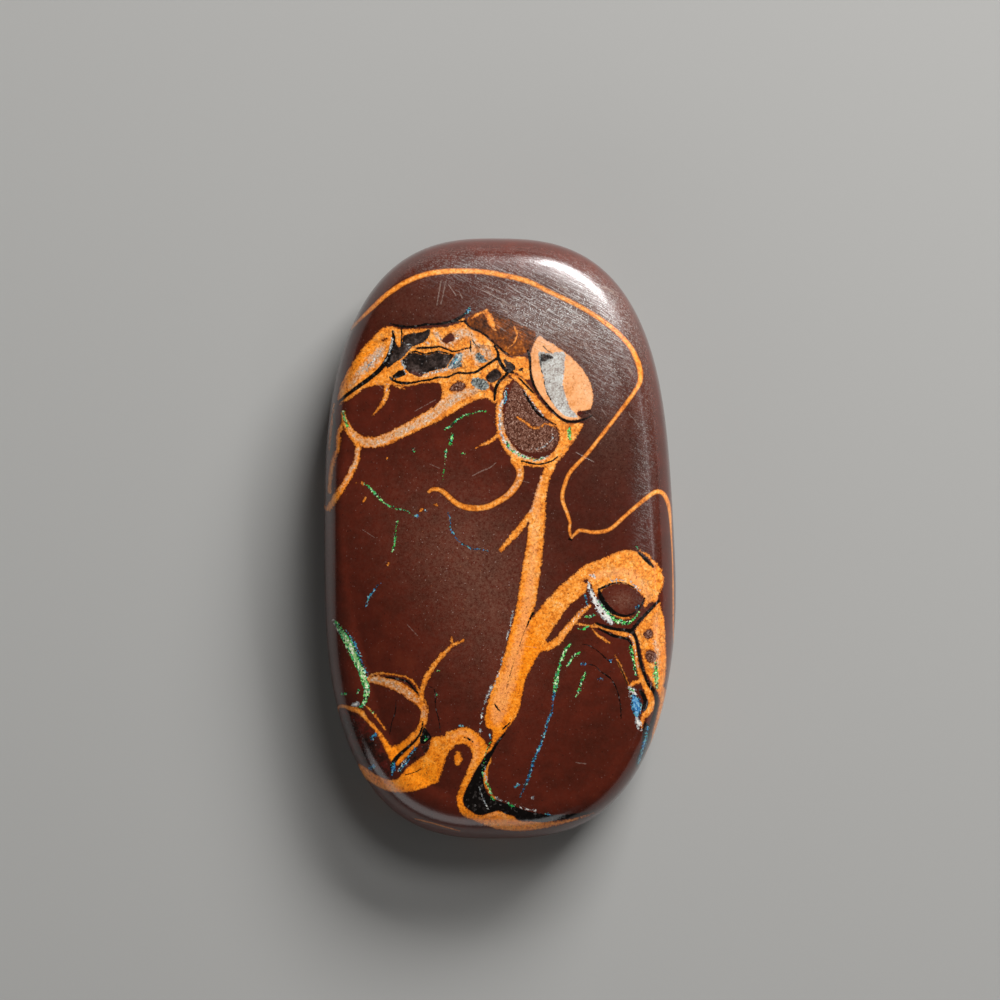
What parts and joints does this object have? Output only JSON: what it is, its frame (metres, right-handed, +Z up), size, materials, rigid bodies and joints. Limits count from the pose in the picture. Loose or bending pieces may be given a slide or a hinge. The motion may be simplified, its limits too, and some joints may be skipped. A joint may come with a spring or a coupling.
{
  "type": "polished boulder opal",
  "caption": "Freeform oval cabochon of brown ironstone with orange and opal veins, polished on its domed face and ground flat on its back.",
  "frame": {"origin": "middle of the flat ground back, the stone's lowest face", "axes": "+Y along the long way of the oval, +X across it, +Z up out of the polished face"},
  "size_m": [0.0246, 0.042, 0.0076],
  "materials": {
    "ironstone": "polished, reddish brown with orange and opal veins"
  },
  "bodies": {
    "root": {"boulder_opal": "ironstone"}
  },
  "joints": []
}
